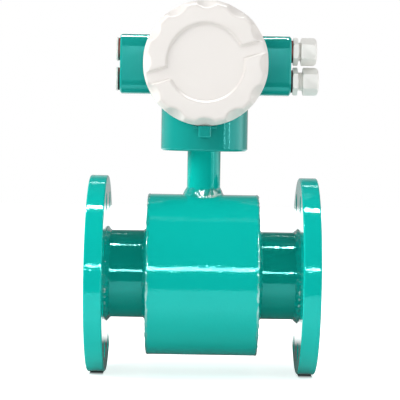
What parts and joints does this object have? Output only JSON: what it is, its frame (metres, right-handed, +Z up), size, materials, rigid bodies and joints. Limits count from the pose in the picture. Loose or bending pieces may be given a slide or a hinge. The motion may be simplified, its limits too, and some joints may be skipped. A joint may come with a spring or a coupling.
{
  "type": "electromagnetic flow meter",
  "caption": "Flanged electromagnetic flow meter: lined measuring pipe with a round coil shell, a neck, and a converter head with screw covers, cable glands and plugs.",
  "frame": {"origin": "centre of the measuring bore", "axes": "+X along the pipe towards the flange under the cable glands, +Z up the neck, the blank cover faces -Y"},
  "size_m": [0.235, 0.2, 0.375],
  "materials": {
    "pipe_enamel": "gloss",
    "housing_enamel": "gloss",
    "cover_enamel": "gloss",
    "liner": "satin",
    "electrode_steel": "satin",
    "bush_plastic": "matte",
    "copper_winding": "satin",
    "core_steel": "matte",
    "zinc_steel": "satin",
    "brass_posts": "satin",
    "circuit_board": "satin",
    "terminal_plastic": "satin",
    "lcd": "gloss",
    "key_rubber": "matte",
    "black_rubber": "matte",
    "window_glass": "gloss",
    "red_seal": "satin",
    "white_nylon": "satin"
  },
  "bodies": {
    "sensor": {"measuring_tube": "pipe_enamel", "inlet_flange": "pipe_enamel", "outlet_flange": "pipe_enamel", "weld_beads": "pipe_enamel", "outer_shell": "pipe_enamel", "inlet_end_plate": "pipe_enamel", "outlet_end_plate": "pipe_enamel", "neck_tube": "pipe_enamel", "converter_housing": "housing_enamel", "liner": "liner", "electrode_front": "electrode_steel", "electrode_rear": "electrode_steel", "electrode_washers": "electrode_steel", "electrode_nuts": "electrode_steel", "electrode_bushes": "bush_plastic", "key_switches": "bush_plastic", "display_panel": "bush_plastic", "coil_top": "copper_winding", "coil_bottom": "copper_winding", "pole_core_top": "core_steel", "pole_core_bottom": "core_steel", "yoke_ring": "core_steel", "transformer": "core_steel", "yoke_screws": "zinc_steel", "neck_lock_nut": "zinc_steel", "cover_lock_screw": "zinc_steel", "earth_screw": "zinc_steel", "terminal_screws": "zinc_steel", "board_screws": "zinc_steel", "capacitors": "zinc_steel", "terminal_posts": "brass_posts", "main_posts": "brass_posts", "display_posts": "brass_posts", "terminal_board": "circuit_board", "main_board": "circuit_board", "display_board": "circuit_board", "terminal_strip_upper": "terminal_plastic", "terminal_strip_lower": "terminal_plastic", "lcd_module": "lcd", "entry_washers": "red_seal", "gland_body_upper": "white_nylon", "gland_body_lower": "white_nylon", "blanking_plug_upper": "white_nylon", "blanking_plug_lower": "white_nylon"},
    "blank_cover_seal": {"blank_cover_oring": "black_rubber"},
    "blank_cover": {"blank_cover": "cover_enamel"},
    "window_cover_seal": {"window_cover_oring": "black_rubber"},
    "window_cover": {"window_cover": "cover_enamel", "window_glass": "window_glass", "window_gasket": "black_rubber", "window_retainer": "zinc_steel"},
    "gland_seal_upper": {"gland_seal_upper": "black_rubber"},
    "gland_nut_upper": {"gland_nut_upper": "white_nylon"},
    "gland_seal_lower": {"gland_seal_lower": "black_rubber"},
    "gland_nut_lower": {"gland_nut_lower": "white_nylon"},
    "key_1": {"key_1": "key_rubber"},
    "key_2": {"key_2": "key_rubber"},
    "key_3": {"key_3": "key_rubber"},
    "key_4": {"key_4": "key_rubber"}
  },
  "joints": [
    {"name": "blank_cover_travel", "type": "slide", "parent": "sensor", "child": "blank_cover_seal", "axis": [0, -1, 0], "range_m": [0, 0.01002]},
    {"name": "blank_cover_turn", "type": "hinge", "parent": "blank_cover_seal", "child": "blank_cover", "pos_m": [0, -0.0462, 0.213], "axis": [0, -1, 0], "range_deg": [0, 1800]},
    {"name": "window_cover_travel", "type": "slide", "parent": "sensor", "child": "window_cover_seal", "axis": [0, 1, 0], "range_m": [0, 0.01002]},
    {"name": "window_cover_turn", "type": "hinge", "parent": "window_cover_seal", "child": "window_cover", "pos_m": [0, 0.0462, 0.213], "axis": [0, 1, 0], "range_deg": [0, 1800]},
    {"name": "gland_nut_upper_travel", "type": "slide", "parent": "sensor", "child": "gland_seal_upper", "axis": [1, 0, 0], "range_m": [0, 0.00601]},
    {"name": "gland_nut_upper_turn", "type": "hinge", "parent": "gland_seal_upper", "child": "gland_nut_upper", "pos_m": [0.1, -0.006, 0.228], "axis": [1, 0, 0], "range_deg": [0, 1440]},
    {"name": "gland_nut_lower_travel", "type": "slide", "parent": "sensor", "child": "gland_seal_lower", "axis": [1, 0, 0], "range_m": [0, 0.00601]},
    {"name": "gland_nut_lower_turn", "type": "hinge", "parent": "gland_seal_lower", "child": "gland_nut_lower", "pos_m": [0.1, -0.006, 0.198], "axis": [1, 0, 0], "range_deg": [0, 1440]},
    {"name": "key_1_press", "type": "slide", "parent": "sensor", "child": "key_1", "axis": [0, -1, 0], "range_m": [0, 0.0008], "stiffness_N_per_m": 250},
    {"name": "key_2_press", "type": "slide", "parent": "sensor", "child": "key_2", "axis": [0, -1, 0], "range_m": [0, 0.0008], "stiffness_N_per_m": 250},
    {"name": "key_3_press", "type": "slide", "parent": "sensor", "child": "key_3", "axis": [0, -1, 0], "range_m": [0, 0.0008], "stiffness_N_per_m": 250},
    {"name": "key_4_press", "type": "slide", "parent": "sensor", "child": "key_4", "axis": [0, -1, 0], "range_m": [0, 0.0008], "stiffness_N_per_m": 250}
  ],
  "couplings": [
    {"joint": "blank_cover_travel", "follows": "blank_cover_turn", "m_per_rad": 0.00031831},
    {"joint": "window_cover_travel", "follows": "window_cover_turn", "m_per_rad": 0.00031831},
    {"joint": "gland_nut_upper_travel", "follows": "gland_nut_upper_turn", "m_per_rad": 0.00023873},
    {"joint": "gland_nut_lower_travel", "follows": "gland_nut_lower_turn", "m_per_rad": 0.00023873}
  ]
}
